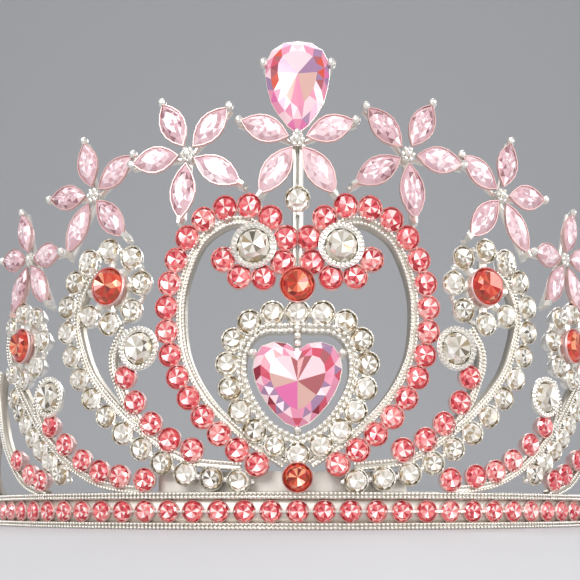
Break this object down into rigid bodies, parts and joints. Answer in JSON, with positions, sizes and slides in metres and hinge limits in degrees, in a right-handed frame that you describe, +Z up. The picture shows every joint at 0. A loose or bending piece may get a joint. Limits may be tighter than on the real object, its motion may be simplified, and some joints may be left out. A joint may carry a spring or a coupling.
{
  "type": "tiara",
  "caption": "Costume tiara: a curved band with a row of cut stones under a pierced crest of scrolls, daisies, marquise flowers, a heart and a pear stone.",
  "frame": {"origin": "middle of the footprint of the bounding box, on the plane that the band rests on", "axes": "+Z up, -Y towards the front, X across the wearer's brow"},
  "size_m": [0.1446, 0.0596, 0.0784],
  "materials": {
    "silver": "polished",
    "coral_crystal": "faceted, foiled",
    "pink_crystal": "faceted, foiled",
    "pale_pink_crystal": "faceted",
    "clear_crystal": "faceted, foiled"
  },
  "bodies": {
    "root": {"back_strip": "silver", "band": "silver", "base_coral_stone": "coral_crystal", "centre_flower_petal_1": "pale_pink_crystal", "centre_flower_petal_2": "pale_pink_crystal", "centre_flower_petal_3": "pale_pink_crystal", "centre_flower_petal_4": "pale_pink_crystal", "crest": "silver", "curl_stone_left": "clear_crystal", "curl_stone_right": "clear_crystal", "daisy_stone_left": "coral_crystal", "daisy_stone_right": "coral_crystal", "heart_stone": "pink_crystal", "inner_flower_left_petal_1": "pale_pink_crystal", "inner_flower_left_petal_2": "pale_pink_crystal", "inner_flower_left_petal_3": "pale_pink_crystal", "inner_flower_left_petal_4": "pale_pink_crystal", "inner_flower_left_petal_5": "pale_pink_crystal", "inner_flower_right_petal_1": "pale_pink_crystal", "inner_flower_right_petal_2": "pale_pink_crystal", "inner_flower_right_petal_3": "pale_pink_crystal", "inner_flower_right_petal_4": "pale_pink_crystal", "inner_flower_right_petal_5": "pale_pink_crystal", "middle_coral_stone": "coral_crystal", "middle_flower_left_petal_1": "pale_pink_crystal", "middle_flower_left_petal_2": "pale_pink_crystal", "middle_flower_left_petal_3": "pale_pink_crystal", "middle_flower_left_petal_4": "pale_pink_crystal", "middle_flower_left_petal_5": "pale_pink_crystal", "middle_flower_right_petal_1": "pale_pink_crystal", "middle_flower_right_petal_2": "pale_pink_crystal", "middle_flower_right_petal_3": "pale_pink_crystal", "middle_flower_right_petal_4": "pale_pink_crystal", "middle_flower_right_petal_5": "pale_pink_crystal", "outer_curl_stone_left": "clear_crystal", "outer_curl_stone_right": "clear_crystal", "outer_daisy_stone_left": "coral_crystal", "outer_daisy_stone_right": "coral_crystal", "outer_flower_left_petal_1": "pale_pink_crystal", "outer_flower_left_petal_2": "pale_pink_crystal", "outer_flower_left_petal_3": "pale_pink_crystal", "outer_flower_left_petal_4": "pale_pink_crystal", "outer_flower_left_petal_5": "pale_pink_crystal", "outer_flower_right_petal_1": "pale_pink_crystal", "outer_flower_right_petal_2": "pale_pink_crystal", "outer_flower_right_petal_3": "pale_pink_crystal", "outer_flower_right_petal_4": "pale_pink_crystal", "outer_flower_right_petal_5": "pale_pink_crystal", "pear_stone": "pink_crystal", "scroll_stone_left": "clear_crystal", "scroll_stone_right": "clear_crystal"}
  },
  "joints": []
}
